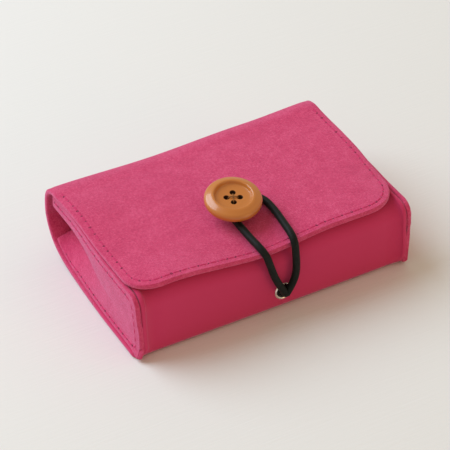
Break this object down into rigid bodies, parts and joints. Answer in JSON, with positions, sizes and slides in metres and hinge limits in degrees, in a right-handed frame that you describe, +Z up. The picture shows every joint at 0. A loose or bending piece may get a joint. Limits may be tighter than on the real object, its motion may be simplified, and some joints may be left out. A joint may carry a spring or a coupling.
{
  "type": "needle case",
  "caption": "Small folded felt needle case with bellows ends, a flap over the top, a wooden button on a thread shank and a round elastic loop from a metal eyelet.",
  "frame": {"origin": "middle of the closed case's outline, on the surface it lies on", "axes": "+X along the case to the wearer's right when the eyelet wall faces the viewer, +Y from the eyelet wall to the back fold, +Z up out of the flap"},
  "size_m": [0.1, 0.0712, 0.0378],
  "materials": {
    "pink_felt": "matte wool felt, magenta pink",
    "cream_felt": "matte wool felt, natural white",
    "pink_thread": "cotton sewing thread, pink",
    "tan_thread": "cotton sewing thread, tan",
    "wood": "turned, orange-brown, glossy lacquer",
    "silver_metal": "bright nickel",
    "black_elastic": "round braided elastic, smooth black"
  },
  "bodies": {
    "case": {"base_panel": "pink_felt", "front_wall": "pink_felt", "top_panel": "pink_felt", "left_gusset": "pink_felt", "right_gusset": "pink_felt", "left_seam_thread": "pink_thread", "right_seam_thread": "pink_thread", "eyelet": "silver_metal", "eyelet_washer": "silver_metal", "elastic_knot": "black_elastic"},
    "spine": {"spine_panel": "pink_felt"},
    "flap": {"flap_panel": "pink_felt", "flap_thread": "pink_thread"},
    "leaf": {"needle_leaf": "cream_felt"},
    "button": {"wooden_button": "wood", "button_thread": "tan_thread"},
    "loop_lower": {"elastic_strands": "black_elastic"},
    "loop_upper": {"elastic_bight": "black_elastic"}
  },
  "joints": [
    {"name": "spine_fold", "type": "hinge", "parent": "case", "child": "spine", "pos_m": [0, 0.0319, 0.0019], "axis": [-1, 0, 0], "range_deg": [0, 80]},
    {"name": "flap_fold", "type": "hinge", "parent": "spine", "child": "flap", "pos_m": [0, 0.0324, 0.02575], "axis": [-1, 0, 0], "range_deg": [0, 88]},
    {"name": "leaf_turn", "type": "hinge", "parent": "flap", "child": "leaf", "pos_m": [0, 0.028, 0.02585], "axis": [1, 0, 0], "range_deg": [0, 40]},
    {"name": "button_swivel", "type": "hinge", "parent": "flap", "child": "button", "pos_m": [-0.004, -0.0124, 0.0326], "axis": [0, -0.1736, 0.9848], "range_deg": [-25, 25]},
    {"name": "loop_swing", "type": "hinge", "parent": "case", "child": "loop_lower", "pos_m": [0.003, -0.0341, 0.007], "axis": [1, 0, 0], "range_deg": [0, 92], "deforming": ["elastic_strands"]},
    {"name": "loop_unbend", "type": "hinge", "parent": "loop_lower", "child": "loop_upper", "pos_m": [0.0008, -0.034, 0.0285], "axis": [1, 0, 0], "range_deg": [0, 96], "deforming": ["elastic_bight"]}
  ],
  "couplings": [
    {"joint": "flap_fold", "follows": "spine_fold", "ratio": 1.1},
    {"joint": "leaf_turn", "follows": "spine_fold", "ratio": 0.5},
    {"joint": "loop_swing", "follows": "spine_fold", "ratio": 1.15},
    {"joint": "loop_unbend", "follows": "spine_fold", "ratio": 1.2}
  ]
}
